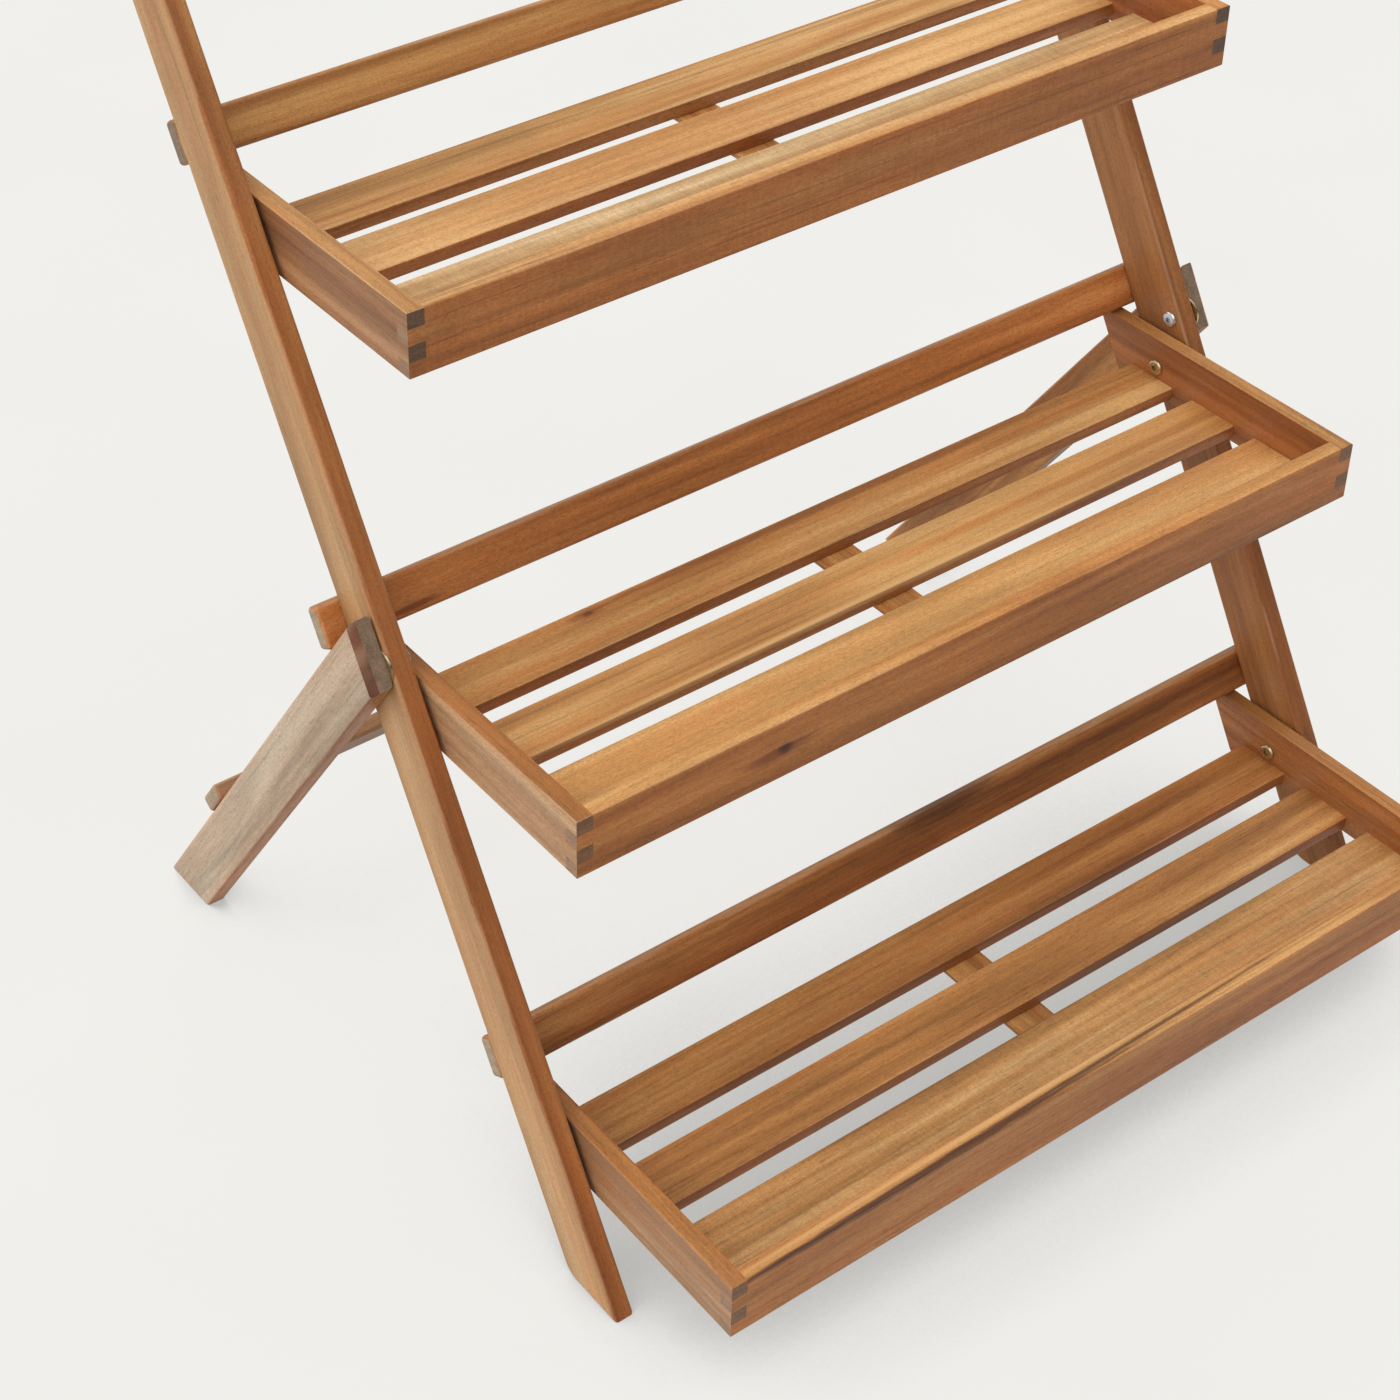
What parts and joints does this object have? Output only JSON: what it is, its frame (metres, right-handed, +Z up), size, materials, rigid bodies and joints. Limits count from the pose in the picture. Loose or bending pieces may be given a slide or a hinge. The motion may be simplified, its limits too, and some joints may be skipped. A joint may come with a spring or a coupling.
{
  "type": "folding plant stand",
  "caption": "Folding stepped plant stand: leaning wooden legs carry slatted tray shelves that swing up, and a hinged rear frame props it up and folds flat.",
  "frame": {"origin": "on the floor, midway across the width and midway between the lowest shelf front and the rear feet", "axes": "+Z up, +Y from the shelf fronts to the rear legs, +X to the right seen from the front"},
  "size_m": [0.729, 0.639, 0.7864],
  "materials": {
    "leg_acacia": "oiled, satin",
    "rail_acacia": "oiled, satin",
    "shelf_acacia": "oiled, satin",
    "beech_dowel": "raw",
    "yellow_zinc": "yellow zinc plated",
    "bright_zinc": "bright zinc plated",
    "insert_brass": "plain"
  },
  "bodies": {
    "front_frame": {"front_leg_left": "leg_acacia", "front_leg_right": "leg_acacia", "back_rail_bottom": "rail_acacia", "back_rail_middle": "rail_acacia", "back_rail_top": "rail_acacia", "back_rail_screws": "bright_zinc", "shelf_pivot_bolts": "yellow_zinc", "shelf_pivot_washers": "bright_zinc", "shelf_pivot_inserts": "insert_brass"},
    "rear_frame": {"rear_leg_left": "leg_acacia", "rear_leg_right": "leg_acacia", "rear_crossbar": "rail_acacia", "crossbar_screws": "bright_zinc", "rear_pivot_bolts": "bright_zinc", "rear_pivot_washers": "yellow_zinc", "rear_pivot_inserts": "insert_brass"},
    "bottom_shelf": {"bottom_shelf_side_left": "shelf_acacia", "bottom_shelf_side_right": "shelf_acacia", "bottom_shelf_front_rail": "shelf_acacia", "bottom_shelf_slat_front": "shelf_acacia", "bottom_shelf_slat_middle": "shelf_acacia", "bottom_shelf_slat_rear": "shelf_acacia", "bottom_shelf_centre_batten": "shelf_acacia", "bottom_shelf_slat_dowels": "beech_dowel", "bottom_shelf_batten_screws": "bright_zinc"},
    "middle_shelf": {"middle_shelf_side_left": "shelf_acacia", "middle_shelf_side_right": "shelf_acacia", "middle_shelf_front_rail": "shelf_acacia", "middle_shelf_slat_front": "shelf_acacia", "middle_shelf_slat_middle": "shelf_acacia", "middle_shelf_slat_rear": "shelf_acacia", "middle_shelf_centre_batten": "shelf_acacia", "middle_shelf_slat_dowels": "beech_dowel", "middle_shelf_batten_screws": "bright_zinc"},
    "top_shelf": {"top_shelf_side_left": "shelf_acacia", "top_shelf_side_right": "shelf_acacia", "top_shelf_front_rail": "shelf_acacia", "top_shelf_slat_front": "shelf_acacia", "top_shelf_slat_middle": "shelf_acacia", "top_shelf_slat_rear": "shelf_acacia", "top_shelf_centre_batten": "shelf_acacia", "top_shelf_slat_dowels": "beech_dowel", "top_shelf_batten_screws": "bright_zinc"}
  },
  "joints": [
    {"name": "rear_frame_fold", "type": "hinge", "parent": "front_frame", "child": "rear_frame", "pos_m": [0, 0.01605, 0.384], "axis": [-1, 0, 0], "range_deg": [0, 61]},
    {"name": "bottom_shelf_fold", "type": "hinge", "parent": "front_frame", "child": "bottom_shelf", "pos_m": [0, -0.1463, 0.0905], "axis": [-1, 0, 0], "range_deg": [0, 120]},
    {"name": "middle_shelf_fold", "type": "hinge", "parent": "front_frame", "child": "middle_shelf", "pos_m": [0, 0.01027, 0.35108], "axis": [-1, 0, 0], "range_deg": [0, 120]},
    {"name": "top_shelf_fold", "type": "hinge", "parent": "front_frame", "child": "top_shelf", "pos_m": [0, 0.17122, 0.61894], "axis": [-1, 0, 0], "range_deg": [0, 120]}
  ]
}
